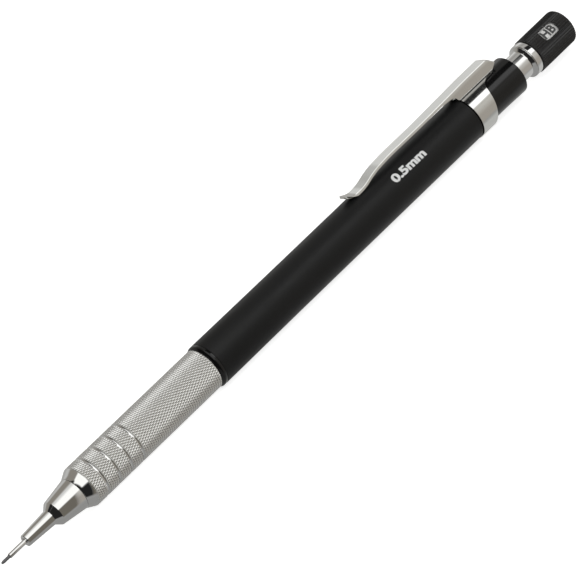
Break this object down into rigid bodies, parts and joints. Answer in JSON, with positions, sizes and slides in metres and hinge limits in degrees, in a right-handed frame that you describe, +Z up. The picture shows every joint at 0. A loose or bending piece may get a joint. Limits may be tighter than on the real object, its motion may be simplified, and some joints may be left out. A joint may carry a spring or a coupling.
{
  "type": "mechanical pencil",
  "caption": "Push-button drafting pencil with a stepped metal nose, knurled grip, round black barrel, sprung clip and a ribbed cap with a lead grade window.",
  "frame": {"origin": "centre of the box around the pencil, on the surface that it lies on, under its axis", "axes": "+X along the pencil from the point of the lead to the push cap, +Z up through the clip, +Y across, away from the grade window"},
  "size_m": [0.1438, 0.0084, 0.0103],
  "materials": {
    "black_plastic": "satin moulded black, faint orange-peel grain",
    "gloss_black": "polished black",
    "chrome": "bright plated, turned and polished",
    "satin_steel": "bright plated sheet, fine grain along its length",
    "knurled_steel": "matt plated, fine diamond knurl with bright grooves",
    "brass": "turned, unplated",
    "spring_steel": "drawn wire",
    "graphite": "dull dark grey lead",
    "rubber": "matt black",
    "white_plastic": "white, smooth",
    "clear_plastic": "clear, polished",
    "eraser_white": "soft matt white"
  },
  "bodies": {
    "body": {"barrel": "black_plastic", "collar_ring": "gloss_black", "grip_sleeve": "knurled_steel", "threaded_coupling": "brass", "neck_bushing": "black_plastic", "clip_mount": "satin_steel", "spring_seat": "brass", "main_spring": "spring_steel"},
    "nose": {"nose_cone": "chrome", "lead_sleeve": "satin_steel", "lead_retainer": "rubber"},
    "clutch": {"clutch_ring": "brass"},
    "lead": {"writing_lead": "graphite"},
    "jaw_1": {"collet_jaw_1": "brass"},
    "jaw_2": {"collet_jaw_2": "brass"},
    "jaw_3": {"collet_jaw_3": "brass"},
    "pusher": {"collet_stem": "brass", "reservoir_connector": "brass", "reservoir_tube": "clear_plastic", "spare_lead_1": "graphite", "spare_lead_2": "graphite", "spare_lead_3": "graphite", "plunger_tube": "chrome", "eraser": "eraser_white"},
    "cap": {"cap_shell": "black_plastic", "window_lens": "clear_plastic"},
    "grade_ring": {"rim_ring": "chrome", "grade_drum": "white_plastic"},
    "clip": {"clip_arm": "satin_steel"}
  },
  "joints": [
    {"name": "advance", "type": "slide", "parent": "body", "child": "pusher", "axis": [-1, 0, 0], "range_m": [0, 0.0026], "stiffness_N_per_m": 1500, "deforming": ["main_spring"]},
    {"name": "clutch_travel", "type": "slide", "parent": "body", "child": "clutch", "axis": [-1, 0, 0], "range_m": [0, 0.00065]},
    {"name": "lead_feed", "type": "slide", "parent": "body", "child": "lead", "axis": [-1, 0, 0], "range_m": [0, 0.00065]},
    {"name": "jaw_1_open", "type": "hinge", "parent": "pusher", "child": "jaw_1", "pos_m": [-0.04575, 0, 0.00495], "axis": [0, 1, 0], "range_deg": [0, 1.5]},
    {"name": "jaw_2_open", "type": "hinge", "parent": "pusher", "child": "jaw_2", "pos_m": [-0.04575, -0.00061, 0.0039], "axis": [0, -0.5, 0.866], "range_deg": [0, 1.5]},
    {"name": "jaw_3_open", "type": "hinge", "parent": "pusher", "child": "jaw_3", "pos_m": [-0.04575, 0.00061, 0.0039], "axis": [0, -0.5, -0.866], "range_deg": [0, 1.5]},
    {"name": "cap_pull", "type": "slide", "parent": "pusher", "child": "cap", "axis": [1, 0, 0], "range_m": [0, 0.01]},
    {"name": "grade_turn", "type": "hinge", "parent": "cap", "child": "grade_ring", "pos_m": [0.0625, 0, 0.00425], "axis": [1, 0, 0], "continuous": true},
    {"name": "clip_flex", "type": "hinge", "parent": "body", "child": "clip", "pos_m": [0.04375, 0, 0.00999], "axis": [0, 1, 0], "range_deg": [0, 4], "stiffness_Nm_per_rad": 0.9},
    {"name": "nose_remove", "type": "slide", "parent": "body", "child": "nose", "axis": [-1, 0, 0], "range_m": [0, 0.009]}
  ],
  "couplings": [
    {"joint": "clutch_travel", "follows": "advance", "ratio": 0.25},
    {"joint": "lead_feed", "follows": "advance", "ratio": 0.25},
    {"joint": "jaw_1_open", "follows": "advance", "rad_per_m": 10.069},
    {"joint": "jaw_2_open", "follows": "advance", "rad_per_m": 10.069},
    {"joint": "jaw_3_open", "follows": "advance", "rad_per_m": 10.069}
  ]
}
